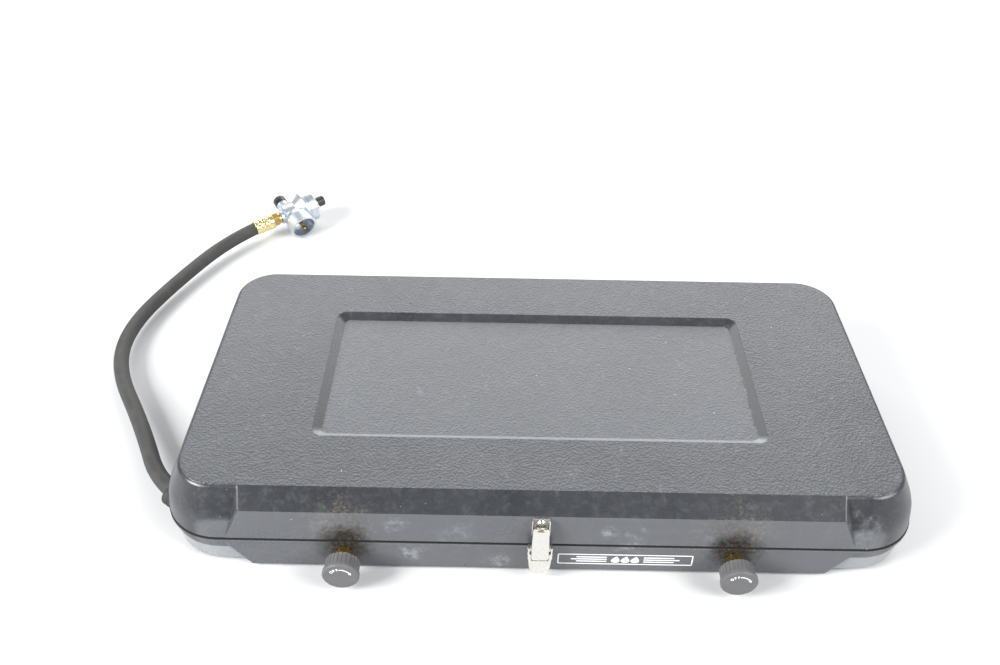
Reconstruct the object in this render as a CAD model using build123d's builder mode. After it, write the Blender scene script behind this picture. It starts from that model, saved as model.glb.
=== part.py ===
"""Two-burner folding camp stove, closed and latched, with its gas hose and regulator.

Millimetres, +Z up, X along the case, the front at -Y. The rubber feet stand on z = 0.
"""

import os
from math import cos, pi, radians, sin, tan

from build123d import *

# ---- case outline -------------------------------------------------------------
CASE_W = 560.0  # over the rolled rim, left to right
CASE_D = 284.0  # over the rolled rim, front to back
CORNER_R = 45.0  # plan radius of the rim's corners
CASE_CY = 7.5  # centre of the case in Y; the knobs stand out in front of it
SHEET = 1.2  # thickness of the stamped sheet
GAP = 0.3  # space left between pieces that rest on one another
FRONT_Y = CASE_CY - CASE_D / 2
BACK_Y = CASE_CY + CASE_D / 2
PANEL_Y = FRONT_Y + 0.5  # the flat front of both the lid and the tray

# ---- lower tray ---------------------------------------------------------------
TRAY_TOP = 31.6
TRAY_BOTTOM = 3.3
TRAY_INSET = 1.5  # the wall stands this far inside the rolled rim
TRAY_BAND = (10.4, 4.0)  # height and draft of the upright band under the rim
TRAY_BOWL = (17.9, 8.0)  # height and draft of the wall below it
TRAY_FLOOR_ROUND = 3.0
RIM_H = 3.2
APRON_TOP_HALF = 233.0
APRON_LOW_HALF = 214.4
APRON_TOP = 29.5
FOOT_XY = ((-215.0, -92.0), (215.0, -92.0), (-215.0, 107.0), (215.0, 107.0))
FOOT_NECK_R = 3.5

# ---- lid ----------------------------------------------------------------------
LID_Z = 32.0
LID_TOP = 70.2
LID_INSET = 0.6
LID_DRAFT = 8.0  # of the lower wall
LID_BEND = (43.0, 55.0)  # between these heights the wall bends in towards the top
LID_LEAN = (14.3, 10.0, 4.5)  # how far the bent wall leans in: front, sides, back
LID_TOP_R = 30.0  # plan radius of the corners at the top
LID_LEVELS = (32.0, 38.0, 43.0, 47.0, 51.0, 55.0, 62.0)  # sections the wall runs through
LID_EDGE_ROUND = 4.0
LID_HEM = 2.4  # thickness of the folded bottom edge
LID_HEM_H = 3.0
PANEL_TOP = 62.3
PANEL_LOW_HALF = 230.0
PANEL_TOP_HALF = 215.5
BAND_DEPTH = 17.5  # the sloped band runs back this far above the front panel
BOSS_ROUND = 3.0  # of the front panel's and the apron's end edges
RECESS_CY = 10.0
RECESS_W = 347.0
RECESS_D = 151.5
RECESS_R = 8.0
RECESS_SLOPE = 6.4  # the sloped sides of the sunk panel, in plan
RECESS_DEPTH = 4.5
RECESS_ROUND = 1.8

# ---- hinges -------------------------------------------------------------------
HINGE_X = 150.0
HINGE_Y = BACK_Y + 4.5
HINGE_Z = (TRAY_TOP + LID_Z) / 2
KNUCKLE_R = 3.0
PIN_R = 1.5
RUNNING = 0.06  # radial clearance of a pin that turns
LEAF_W = 34.0
LEAF_T = 1.2
KNUCKLE_HALF = 6.0  # half of the lid leaf's middle knuckle
RIVET_R = 1.5
RIVET_HEAD_R = 2.8
LEAF_RIVET_X = 11.0

# ---- latch --------------------------------------------------------------------
LEVER_PIVOT = (PANEL_Y - 5.3, 34.0)  # Y and Z of the lever's pin
LINK_PIVOT = (PANEL_Y - 4.5, 27.0)  # Y and Z of the link's pin, just over centre
LATCH_PIN_R = 1.1
LATCH_T = 1.0
LINK_FACE_Y = PANEL_Y - 7.7  # front of the link plate
LEDGE_Z = 52.0  # top of the catch's ledge, which the link's lip hangs over
LEVER_HALF = 8.8
LEVER_ARM_HALF = 7.7  # inner edges of the lever's arms, clear of the base's ears
LEVER_TAB_HALF = 5.6
LEVER_TAB_Z = 7.6
LATCH_RIVETS_Z = (14.0, 21.0)
CATCH_RIVET_Z = 57.0

# ---- gas train ----------------------------------------------------------------
BURNER_X = 142.7
BURNER_Y = 12.0
GAS_Z = 19.5  # height of the valves, the manifold and the burner tubes
MANIFOLD_Y = -118.0
ELBOW = (-220.0, MANIFOLD_Y, GAS_Z)  # the fitting that turns the hose's gas into the manifold
STEM_R = 3.0
KNOB_R = 13.5
KNOB_FACE_Y = CASE_CY - 164.4
KNOB_DEPTH = 12.6
KNOB_RIM = 3.4  # the smooth rim in front of the flutes
FLUTES = 26
TUBE_R = 7.0
PAN_Z = 27.5
PAN_T = 0.8
PAN_LIP = 0.6  # the turned-down edge of the pan
PAN_HOLE_R = 40.0
PORTS = 24
WIRE_R = 2.0
FRAME_R = 2.5
GRATE_Z = 42.0
GRATE_W = 496.0
GRATE_D = 224.0
GRATE_WIRES = (-84.0, -60.0, -36.0, -12.0, 12.0, 36.0, 60.0, 84.0)

# ---- hose ---------------------------------------------------------------------
HOSE_R = 6.65
# Centre line: from the ferrule inside the case, out through the left wall, down to
# the table, round behind the case and up a little to the regulator.
HOSE_RUN = (
    (-250.8, -98.3, 18.8),
    (-293.6, -79.5, 17.0),
    (-332.2, -3.4, 13.0),
    (-378.7, 71.7, 11.0),
    (-385.5, 132.4, 10.8),
    (-362.6, 200.9, 11.2),
)
HOSE_LAST_RUN = 46.2  # the straight run into the regulator
GROMMET_NECK_R = 8.2
GROMMET_COLLAR = (8.4, 1.4)  # radius and thickness of the grommet's outer collar
GROMMET_AT = 0.2  # share of the hose's first bend at which the collar sits
HOSE_HEADING = 36.0  # of the regulator, from +X towards +Y
HOSE_TILT = 5.0  # and upwards
REG_START = (-300.2, 296.9, 16.9)  # where the hose goes into its ferrule
FERRULE_L = 21.0
HOSE_IN_FERRULE = 20.0
HOSE_BEND_SHARE = 0.45  # share of the shorter run that each bend's arc takes up

# ---- regulator, in its own frame: X along the hose, -Y out of the cup ------------
CUP_DROP = 16.0  # the cup's axis points down by this angle
CUP_X = 46.2
CUP_OUT = 25.0
CUP_R = 14.6
CUP_BORE_R = 12.3
CUP_DEPTH = 15.0
BODY_R = 10.5
FLANGE_R = 17.2
BONNET_SCREWS = [
    (13.2 * cos(radians(turn)), 13.2 * sin(radians(turn)))
    for turn in range(30, 390, 60)
]


def save(builder, name):
    """Writes one node of the part."""
    builder.part.label = name
    export_step(builder.part, f"parts/{name}.step")


def at(x, y, z, normal, x_dir=None):
    """A sketch plane at a point, facing along a vector."""
    return Plane(origin=(x, y, z), z_dir=normal, x_dir=x_dir or (1, 0, 0))


def front(x, y, z):
    """A sketch plane facing the front; its x is +X and its y is +Z."""
    return Plane(origin=(x, y, z), z_dir=(0, -1, 0), x_dir=(1, 0, 0))


def side(x, y, z):
    """A sketch plane facing +X; its x is +Y and its y is +Z."""
    return Plane(origin=(x, y, z), z_dir=(1, 0, 0), x_dir=(0, 1, 0))


def disc(plane, radius, length):
    """A plain cylinder that starts on a plane."""
    with BuildPart() as made:
        with BuildSketch(plane):
            Circle(radius)
        extrude(amount=length)
    return made.part


def ring(plane, radius, bore, length):
    """A plain tube that starts on a plane."""
    with BuildPart() as made:
        with BuildSketch(plane):
            Circle(radius)
            Circle(bore, mode=Mode.SUBTRACT)
        extrude(amount=length)
    return made.part


def nut(plane, across_flats, bore, length):
    """A hexagon nut that starts on a plane, with its corners turned down."""
    with BuildPart() as made:
        with BuildSketch(plane):
            RegularPolygon(across_flats / 2, 6, major_radius=False)
            Circle(bore, mode=Mode.SUBTRACT)
        extrude(amount=length)
        with BuildSketch(plane):
            Circle(across_flats * 0.56)
        extrude(amount=length, mode=Mode.INTERSECT)
    return made.part


def block(low, high):
    """A plain box between two corners."""
    size = [high[i] - low[i] for i in range(3)]
    with BuildPart() as made:
        with Locations(tuple((low[i] + high[i]) / 2 for i in range(3))):
            Box(*size)
    return made.part


def outline_stack(z, up, inset, stages, rounded):
    """The case's plan outline carried up or down in drafted stages, the last edge rounded."""
    with BuildPart() as made:
        for height, draft in stages:
            plane = at(0, CASE_CY, z, (0, 0, up))
            with BuildSketch(plane):
                RectangleRounded(
                    CASE_W - 2 * inset, CASE_D - 2 * inset, CORNER_R - inset
                )
            extrude(amount=height, taper=draft)
            inset += height * tan(radians(draft))
            z += up * height
        edges = made.edges().filter_by_position(Axis.Z, z - 0.01, z + 0.01)
        fillet(edges, rounded)
    return made.part


def front_boss(profile, low_half, top_half, low_z, top_z, y, splay, rounded):
    """A flat-fronted boss: a side profile in Y and Z, bounded by a splayed trapezoid."""
    reach = CASE_W / 2
    with BuildPart() as made:
        with BuildSketch(side(-reach, 0, 0)):
            with BuildLine():
                Polyline(*profile, close=True)
            make_face()
        extrude(amount=2 * reach)
        with BuildSketch(Plane(origin=(0, y, 0), z_dir=(0, 1, 0), x_dir=(-1, 0, 0))):
            with BuildLine():
                Polyline(
                    (-low_half, low_z),
                    (low_half, low_z),
                    (top_half, top_z),
                    (-top_half, top_z),
                    close=True,
                )
            make_face()
        extrude(amount=60, taper=-splay, mode=Mode.INTERSECT)
        boxes = [(edge, edge.bounding_box()) for edge in made.edges()]
        fillet([e for e, box in boxes if box.min.Y < y + 0.01 and box.size.Z > 1], rounded)
    return made.part


# ---- tray ---------------------------------------------------------------------
def tray_solid(skin):
    """The tray as a solid block, or its hollow when a skin thickness is given."""
    bowl_h = TRAY_BOWL[0] - skin
    bowl = outline_stack(
        TRAY_TOP,
        -1,
        TRAY_INSET + skin,
        (TRAY_BAND, (bowl_h, TRAY_BOWL[1])),
        TRAY_FLOOR_ROUND - skin,
    )
    low_z = TRAY_BOTTOM + skin
    y = PANEL_Y + skin
    back = FRONT_Y + 32
    profile = ((y, low_z), (back, low_z), (back, APRON_TOP), (y, APRON_TOP))
    apron = front_boss(
        profile,
        APRON_LOW_HALF - skin,
        APRON_TOP_HALF - skin,
        TRAY_BOTTOM,
        APRON_TOP,
        y,
        12,
        BOSS_ROUND - skin,
    )
    return bowl, apron


def make_tray():
    bowl, apron = tray_solid(0)
    hollow, apron_hollow = tray_solid(SHEET)
    way_out = along_hose(GROMMET_NECK_R + GAP, 5.0, 0.8)
    with BuildPart() as base_tray:
        add(bowl)
        add(apron)
        with BuildSketch(Plane.XY.offset(TRAY_TOP - RIM_H)):
            with Locations((0, CASE_CY)):
                RectangleRounded(CASE_W, CASE_D, CORNER_R)
        extrude(amount=RIM_H)
        rim = base_tray.edges().filter_by_position(
            Axis.Z, TRAY_TOP - 0.01, TRAY_TOP + 0.01
        )
        fillet(rim, 1.3)
        add(hollow, mode=Mode.SUBTRACT)
        add(apron_hollow, mode=Mode.SUBTRACT)
        for x in (-BURNER_X, BURNER_X):
            add(disc(front(x, PANEL_Y + 5, GAS_Z), 4.2, 12), mode=Mode.SUBTRACT)
        add(way_out, mode=Mode.SUBTRACT)
        for z in LATCH_RIVETS_Z:
            add(disc(front(0, PANEL_Y + 5, z), RIVET_R + RUNNING, 10), mode=Mode.SUBTRACT)
        for x in (-HINGE_X, HINGE_X):
            for dx in (-LEAF_RIVET_X, LEAF_RIVET_X):
                add(
                    disc(front(x + dx, BACK_Y + 3, 24.0), RIVET_R + RUNNING, 12),
                    mode=Mode.SUBTRACT,
                )
        for x, y in FOOT_XY:
            add(
                disc(Plane.XY.move(Location((x, y, 2))), FOOT_NECK_R + RUNNING, 5),
                mode=Mode.SUBTRACT,
            )
    save(base_tray, "base_tray")




def make_feet():
    with BuildPart() as rubber_feet:
        with BuildSketch(Plane.XY):
            with Locations(*FOOT_XY):
                Circle(7.0)
        extrude(amount=TRAY_BOTTOM - GAP, taper=-8)
        with BuildSketch(Plane.XY.offset(TRAY_BOTTOM - GAP)):
            with Locations(*FOOT_XY):
                Circle(FOOT_NECK_R)
        extrude(amount=SHEET + 2 * GAP)
        with BuildSketch(Plane.XY.offset(TRAY_BOTTOM + SHEET + GAP)):
            with Locations(*FOOT_XY):
                Circle(5.2)
        extrude(amount=2.0, taper=25)
    save(rubber_feet, "rubber_feet")


# ---- lid ----------------------------------------------------------------------
def lid_outline(z, skin):
    """The lid's plan outline at a height; the wall bends in smoothly on its way up."""
    low, high = LID_BEND
    bend = high - low
    turned = min(max(z - low, 0), bend) ** 2 / (2 * bend) + max(z - high, 0)
    share = turned / (LID_TOP - (low + high) / 2)
    wall = LID_INSET + skin + (z - LID_Z - turned) * tan(radians(LID_DRAFT))
    front_in, side_in, back_in = (wall + run * share for run in LID_LEAN)
    radius = (CORNER_R - wall) * (1 - share) + (LID_TOP_R - skin) * share
    with BuildSketch(Plane.XY.offset(z)) as made:
        with Locations((0, CASE_CY + (front_in - back_in) / 2)):
            RectangleRounded(CASE_W - 2 * side_in, CASE_D - front_in - back_in, radius)
    return made.sketch


def lid_dome(skin):
    """The lid's plain domed body, its top edge rounded."""
    top = LID_TOP - skin
    with BuildPart() as made:
        loft([lid_outline(z, skin) for z in (*LID_LEVELS, top)])
        edges = made.edges().filter_by_position(Axis.Z, top - 0.01, top + 0.01)
        fillet(edges, LID_EDGE_ROUND - skin)
    return made.part


def lid_solid(skin):
    """The lid as a solid block, or its hollow when a skin thickness is given."""
    dome = lid_dome(skin)
    y = PANEL_Y + skin
    top = LID_TOP - skin
    back = FRONT_Y + 45
    profile = (
        (y, LID_Z),
        (y, PANEL_TOP - skin * 0.4),
        (PANEL_Y + BAND_DEPTH + skin * 0.6, top),
        (back, top),
        (back, LID_Z),
    )
    slope = (PANEL_LOW_HALF - PANEL_TOP_HALF) / (PANEL_TOP - LID_Z)
    panel = front_boss(
        profile,
        PANEL_LOW_HALF - skin,
        PANEL_LOW_HALF - skin - slope * (LID_TOP - LID_Z),
        LID_Z,
        LID_TOP,
        y,
        20,
        BOSS_ROUND - skin,
    )
    return dome, panel


def recess(grow, depth):
    """The sunk panel of the lid: a shallow pan with sloping sides."""
    with BuildPart() as made:
        with BuildSketch(Plane.XY.offset(LID_TOP)):
            with Locations((0, RECESS_CY)):
                RectangleRounded(
                    RECESS_W + 2 * grow, RECESS_D + 2 * grow, RECESS_R + grow
                )
        with BuildSketch(Plane.XY.offset(LID_TOP - depth)):
            with Locations((0, RECESS_CY)):
                RectangleRounded(
                    RECESS_W + 2 * (grow - RECESS_SLOPE),
                    RECESS_D + 2 * (grow - RECESS_SLOPE),
                    RECESS_R + grow - 2,
                )
        loft(ruled=True)
    return made.part


def make_lid():
    dome, panel = lid_solid(0)
    hollow, panel_hollow = lid_solid(SHEET)
    under = recess(SHEET * 1.3, RECESS_DEPTH + SHEET)
    sunk = recess(0, RECESS_DEPTH)
    with BuildPart() as lid_shell:
        add(dome)
        add(panel)
        add(hollow, mode=Mode.SUBTRACT)
        add(panel_hollow, mode=Mode.SUBTRACT)
        with BuildSketch(Plane.XY.offset(LID_Z)):
            with Locations((0, CASE_CY)):
                RectangleRounded(
                    CASE_W - 2 * LID_INSET - 1,
                    CASE_D - 2 * LID_INSET - 1.4,
                    CORNER_R - LID_INSET - 0.5,
                )
                RectangleRounded(
                    CASE_W - 2 * (LID_INSET + LID_HEM),
                    CASE_D - 2 * (LID_INSET + LID_HEM),
                    CORNER_R - LID_INSET - LID_HEM,
                    mode=Mode.SUBTRACT,
                )
        extrude(amount=LID_HEM_H)
        add(under)
        add(sunk, mode=Mode.SUBTRACT)
        inside = (
            lid_shell.edges()
            .filter_by_position(Axis.X, -RECESS_W / 2 - 1, RECESS_W / 2 + 1)
            .filter_by_position(Axis.Y, RECESS_CY - 80, RECESS_CY + 80)
        )
        upper = inside.filter_by_position(Axis.Z, LID_TOP - 0.01, LID_TOP + 0.01)
        floor_z = LID_TOP - RECESS_DEPTH
        lower = inside.filter_by_position(Axis.Z, floor_z - 0.01, floor_z + 0.01)
        fillet(upper, RECESS_ROUND)
        fillet(lower, RECESS_ROUND)
        add(
            disc(front(0, PANEL_Y + 5, CATCH_RIVET_Z), RIVET_R + RUNNING, 10),
            mode=Mode.SUBTRACT,
        )
        for x in (-HINGE_X, HINGE_X):
            for dx in (-LEAF_RIVET_X, LEAF_RIVET_X):
                add(
                    disc(front(x + dx, BACK_Y + 3, 39.0), RIVET_R + RUNNING, 14),
                    mode=Mode.SUBTRACT,
                )
    save(lid_shell, "lid_shell")




# ---- hinges -------------------------------------------------------------------
def leaf(x, z_low, z_high, arm_low, spans):
    """A hinge leaf: a plate on the back wall, its arm and its knuckles."""
    face_y = BACK_Y + GAP
    with BuildPart() as made:
        add(block((x - LEAF_W / 2, face_y, z_low), (x + LEAF_W / 2, face_y + LEAF_T, z_high)))
        for low, high in spans:
            add(disc(side(x + low, HINGE_Y, HINGE_Z), KNUCKLE_R, high - low))
            add(
                block(
                    (x + low, face_y, arm_low),
                    (x + high, HINGE_Y, arm_low + LEAF_T),
                )
            )
            z_near = min(max(z_low, arm_low), z_high - LEAF_T)
            add(
                block(
                    (x + low, face_y, min(z_near, arm_low)),
                    (x + high, face_y + LEAF_T, max(z_near, arm_low) + LEAF_T),
                )
            )
        bore = disc(side(x - LEAF_W, HINGE_Y, HINGE_Z), PIN_R + RUNNING, 2 * LEAF_W)
        add(bore, mode=Mode.SUBTRACT)
        mid_z = (z_low + z_high) / 2
        for dx in (-LEAF_RIVET_X, LEAF_RIVET_X):
            hole = disc(front(x + dx, BACK_Y + 5, mid_z), RIVET_R + RUNNING, 10)
            add(hole, mode=Mode.SUBTRACT)
    return made.part


def make_hinges():
    outer = ((-LEAF_W / 2, -KNUCKLE_HALF - GAP), (KNUCKLE_HALF + GAP, LEAF_W / 2))
    inner = ((-KNUCKLE_HALF, KNUCKLE_HALF),)
    low_arm = HINGE_Z - KNUCKLE_R
    high_arm = HINGE_Z + KNUCKLE_R - LEAF_T
    with BuildPart() as hinge_leaves_lid:
        for x in (-HINGE_X, HINGE_X):
            add(leaf(x, 34.5, 43.5, high_arm, inner))
    save(hinge_leaves_lid, "hinge_leaves_lid")
    with BuildPart() as hinge_leaves_tray:
        for x in (-HINGE_X, HINGE_X):
            add(leaf(x, 19.0, 29.0, low_arm, outer))
    save(hinge_leaves_tray, "hinge_leaves_tray")
    with BuildPart() as hinge_pins:
        for x in (-HINGE_X, HINGE_X):
            add(disc(side(x - LEAF_W / 2, HINGE_Y, HINGE_Z), PIN_R, LEAF_W))
    save(hinge_pins, "hinge_pins")
    leaf_back = BACK_Y + GAP + LEAF_T
    rivets = (("hinge_rivets_lid", 39.0, BACK_Y - 6.2), ("hinge_rivets_tray", 24.0, BACK_Y - 5.2))
    for name, z, inner_y in rivets:
        with BuildPart() as made:
            for x in (-HINGE_X, HINGE_X):
                for dx in (-LEAF_RIVET_X, LEAF_RIVET_X):
                    add(rivet(x + dx, leaf_back + GAP, z, inner_y, 1))
        save(made, name)


def rivet(x, head_y, z, tail_y, outward):
    """A rivet along Y with a domed head outside and a flat tail inside."""
    plane = Plane(origin=(x, head_y, z), z_dir=(0, outward, 0), x_dir=(1, 0, 0))
    tail = Plane(origin=(x, tail_y, z), z_dir=(0, -outward, 0), x_dir=(1, 0, 0))
    with BuildPart() as made:
        with BuildSketch(plane):
            Circle(RIVET_HEAD_R)
        extrude(amount=1.1, taper=35)
        with BuildSketch(tail):
            Circle(RIVET_R)
        extrude(amount=-abs(head_y - tail_y))
        with BuildSketch(tail):
            Circle(RIVET_HEAD_R - 0.4)
        extrude(amount=0.9, taper=20)
    return made.part


# ---- latch --------------------------------------------------------------------
def plate(points, y_front, thickness):
    """A flat plate seen from the front, given by its outline in X and Z."""
    with BuildPart() as made:
        with BuildSketch(front(0, y_front, 0)):
            with BuildLine():
                Polyline(*points, close=True)
            make_face()
        extrude(amount=-thickness)
    return made.part


def pin_hole(pivot, half):
    """The bore of a latch pin, from side to side."""
    return disc(side(-half, pivot[0], pivot[1]), LATCH_PIN_R + RUNNING, 2 * half)


def make_catch():
    back = PANEL_Y - GAP
    with BuildPart() as latch_catch:
        add(block((-6.5, back - 0.9, 45.5), (6.5, back, 61.2)))
        for x in (-6.5, 5.7):
            add(block((x, back - 3.6, 46.5), (x + 0.8, back, 60.0)))
        add(block((-4.6, back - 4.0, LEDGE_Z - 1.0), (4.6, back, LEDGE_Z)))
        hole = disc(front(0, PANEL_Y + 5, CATCH_RIVET_Z), RIVET_R + RUNNING, 10)
        add(hole, mode=Mode.SUBTRACT)
        corners = latch_catch.edges().filter_by(Axis.Y).filter_by_position(
            Axis.X, -6.6, 6.6
        )
        fillet(corners.filter_by_position(Axis.Z, 61, 62), 1.5)
    save(latch_catch, "latch_catch")
    with BuildPart() as catch_rivet:
        add(rivet(0, back - 0.9 - GAP, CATCH_RIVET_Z, PANEL_Y + SHEET + GAP, -1))
    save(catch_rivet, "catch_rivet")


def make_latch_base():
    back = PANEL_Y - GAP
    pivot_y, pivot_z = LEVER_PIVOT
    with BuildPart() as latch_base:
        add(block((-7.5, back - 0.9, 9.5), (7.5, back, 28.0)))
        for x in (-7.5, 6.6):
            with BuildSketch(side(x, 0, 0)):
                with BuildLine():
                    Polyline(
                        (back, 22.0),
                        (back, 28.0),
                        (back - 0.7, 28.2),
                        (pivot_y + 2.2, pivot_z + 1.6),
                        (pivot_y, pivot_z + 2.4),
                        (pivot_y - 1.1, pivot_z + 1.0),
                        (pivot_y - 1.1, pivot_z - 2.0),
                        (pivot_y + 3.2, pivot_z - 4.0),
                        (back - 1.2, 22.0),
                        close=True,
                    )
                make_face()
            extrude(amount=0.9)
        add(pin_hole(LEVER_PIVOT, 9), mode=Mode.SUBTRACT)
        for z in LATCH_RIVETS_Z:
            hole = disc(front(0, PANEL_Y + 5, z), RIVET_R + RUNNING, 10)
            add(hole, mode=Mode.SUBTRACT)
    save(latch_base, "latch_base")
    with BuildPart() as latch_rivets:
        for z in LATCH_RIVETS_Z:
            add(rivet(0, back - 0.9 - GAP / 2, z, PANEL_Y + SHEET + GAP, -1))
    save(latch_rivets, "latch_rivets")
    with BuildPart() as latch_pivot_pin:
        add(disc(side(-LEVER_HALF - 0.5, *LEVER_PIVOT), LATCH_PIN_R, 2 * LEVER_HALF + 1))
    save(latch_pivot_pin, "latch_pivot_pin")
    with BuildPart() as link_pin:
        add(disc(side(-LEVER_HALF - 0.2, *LINK_PIVOT), LATCH_PIN_R, 2 * LEVER_HALF + 0.4))
    save(link_pin, "link_pin")


def make_lever():
    """The thumb lever: a front plate below the link, and a cheek up each side of it."""
    face = LINK_FACE_Y - 0.2
    pivot_y, pivot_z = LEVER_PIVOT
    with BuildPart() as latch_lever:
        add(
            plate(
                (
                    (-LEVER_TAB_HALF, LEVER_TAB_Z),
                    (LEVER_TAB_HALF, LEVER_TAB_Z),
                    (7.6, 15.0),
                    (LEVER_HALF, 29.0),
                    (LEVER_HALF, pivot_z + 1.5),
                    (LEVER_ARM_HALF, pivot_z + 1.5),
                    (LEVER_ARM_HALF, pivot_z - 3.6),
                    (6.7, pivot_z - 4.8),
                    (6.7, 26.5),
                    (6.3, 23.2),
                    (5.2, 22.4),
                    (-5.2, 22.4),
                    (-6.3, 23.2),
                    (-6.7, 26.5),
                    (-6.7, pivot_z - 4.8),
                    (-LEVER_ARM_HALF, pivot_z - 3.6),
                    (-LEVER_ARM_HALF, pivot_z + 1.5),
                    (-LEVER_HALF, pivot_z + 1.5),
                    (-LEVER_HALF, 29.0),
                    (-7.6, 15.0),
                ),
                face,
                LATCH_T,
            )
        )
        tab = latch_lever.edges().filter_by(Axis.Y).filter_by_position(
            Axis.Z, LEVER_TAB_Z - 0.1, LEVER_TAB_Z + 0.1
        )
        fillet(tab, 2.6)
        for x in (-LEVER_HALF, LEVER_HALF - 0.9):
            with BuildSketch(side(x, 0, 0)):
                with BuildLine():
                    Polyline(
                        (face, 24.5),
                        (LINK_PIVOT[0] + 1.6, 24.5),
                        (pivot_y + 2.6, pivot_z - 2.0),
                        (pivot_y + 2.6, pivot_z + 1.0),
                        (pivot_y + 1.0, pivot_z + 2.6),
                        (face, pivot_z + 2.6),
                        close=True,
                    )
                make_face()
            extrude(amount=0.9)
        add(pin_hole(LEVER_PIVOT, 12), mode=Mode.SUBTRACT)
        add(pin_hole(LINK_PIVOT, 12), mode=Mode.SUBTRACT)
    save(latch_lever, "latch_lever")


def make_link():
    """The plate that hooks over the lid's catch, hung from the lever."""
    back = LINK_FACE_Y + LATCH_T
    pivot_y, pivot_z = LINK_PIVOT
    with BuildPart() as latch_link:
        add(
            plate(
                (
                    (-4.8, 23.0),
                    (4.8, 23.0),
                    (6.0, 24.6),
                    (6.3, 38.0),
                    (5.6, 56.4),
                    (3.4, 56.4),
                    (2.4, 54.4),
                    (-2.4, 54.4),
                    (-3.4, 56.4),
                    (-5.6, 56.4),
                    (-6.3, 38.0),
                    (-6.0, 24.6),
                ),
                LINK_FACE_Y,
                LATCH_T,
            )
        )
        lip_z = LEDGE_Z + GAP
        add(block((-3.9, back - 0.5, lip_z), (3.9, back + 4.4, lip_z + 0.9)))
        for x in (-6.0, 5.1):
            low = (x, back - 0.5, pivot_z - 2.3)
            add(block(low, (x + 0.9, pivot_y + 2.2, pivot_z + 2.3)))
        add(pin_hole(LINK_PIVOT, 9), mode=Mode.SUBTRACT)
    save(latch_link, "latch_link")


# ---- knobs and valves ---------------------------------------------------------
def make_knob(x, name):
    back_y = KNOB_FACE_Y + KNOB_DEPTH
    with BuildPart() as knob:
        with BuildSketch(front(x, back_y, GAS_Z)):
            Circle(KNOB_R - 0.9)
        extrude(amount=KNOB_DEPTH - KNOB_RIM)
        with BuildSketch(front(x, back_y, GAS_Z)):
            with PolarLocations(KNOB_R - 0.5, FLUTES):
                Circle(0.85)
        extrude(amount=KNOB_DEPTH - KNOB_RIM - 0.8, mode=Mode.SUBTRACT)
        with BuildSketch(front(x, back_y - KNOB_DEPTH + KNOB_RIM, GAS_Z)):
            Circle(KNOB_R)
        extrude(amount=KNOB_RIM)
        face_edge = knob.faces().sort_by(Axis.Y)[0].edges()
        chamfer(face_edge, 1.1)
        with BuildSketch(front(x, back_y, GAS_Z)):
            Circle(KNOB_R - 3.2)
            Circle(5.0, mode=Mode.SUBTRACT)
        extrude(amount=7.5, mode=Mode.SUBTRACT)
        with BuildSketch(front(x, back_y, GAS_Z)):
            Circle(STEM_R + RUNNING)
        extrude(amount=9.0, mode=Mode.SUBTRACT)
    save(knob, name)


def make_stem(x, name):
    end_y = KNOB_FACE_Y + KNOB_DEPTH - 8.6
    with BuildPart() as stem:
        with BuildSketch(front(x, MANIFOLD_Y + 6, GAS_Z)):
            Circle(STEM_R)
        extrude(amount=MANIFOLD_Y + 6 - end_y)
    save(stem, name)


def make_valve(x, name, ports):
    """A brass valve body behind the front wall, with a socket for each gas pipe."""
    front_y = PANEL_Y + SHEET + GAP
    back_y = -101.0
    with BuildPart() as valve:
        with BuildSketch(front(x, -106.0, GAS_Z)):
            RegularPolygon(7.0, 6, major_radius=False)
        extrude(amount=-106.0 - front_y - 3)
        with BuildSketch(front(x, front_y + 3, GAS_Z)):
            Circle(6.2)
        extrude(amount=3)
        with BuildSketch(front(x, back_y, GAS_Z)):
            Circle(3.4)
        extrude(amount=6)
        for sign in ports:
            add(disc(at(x, MANIFOLD_Y, GAS_Z, (sign, 0, 0), (0, 1, 0)), 5.0, 11.0))
        bore = disc(front(x, MANIFOLD_Y + 7, GAS_Z), STEM_R + RUNNING, 30)
        add(bore, mode=Mode.SUBTRACT)
        for sign in ports:
            plane = at(x + sign * 8.0, MANIFOLD_Y, GAS_Z, (sign, 0, 0), (0, 1, 0))
            add(disc(plane, 3.0 + RUNNING, 6), mode=Mode.SUBTRACT)
        add(disc(front(x, back_y + 1, GAS_Z), 0.8, 8), mode=Mode.SUBTRACT)
    save(valve, name)


def make_valve_trim():
    with BuildPart() as packing_nuts:
        for x in (-BURNER_X, BURNER_X):
            add(nut(front(x, PANEL_Y - GAP, GAS_Z), 11.0, STEM_R + RUNNING, 4.4))
            add(
                ring(front(x, PANEL_Y - GAP - 4.4, GAS_Z), 4.6, STEM_R + RUNNING, 2.4)
            )
    save(packing_nuts, "packing_nuts")
    with BuildPart() as gas_jets:
        for x in (-BURNER_X, BURNER_X):
            add(nut(front(x, -96.6, GAS_Z), 9.0, 3.4 + RUNNING, 7.0))
    save(gas_jets, "gas_jets")
    with BuildPart() as manifold_tube:
        left = ELBOW[0] + 6.0
        for low, high in (
            (left, -BURNER_X - 8.2),
            (-BURNER_X + 8.2, BURNER_X - 8.2),
        ):
            add(disc(side(low, MANIFOLD_Y, GAS_Z), 3.0, high - low))
    save(manifold_tube, "manifold_tube")




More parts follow.
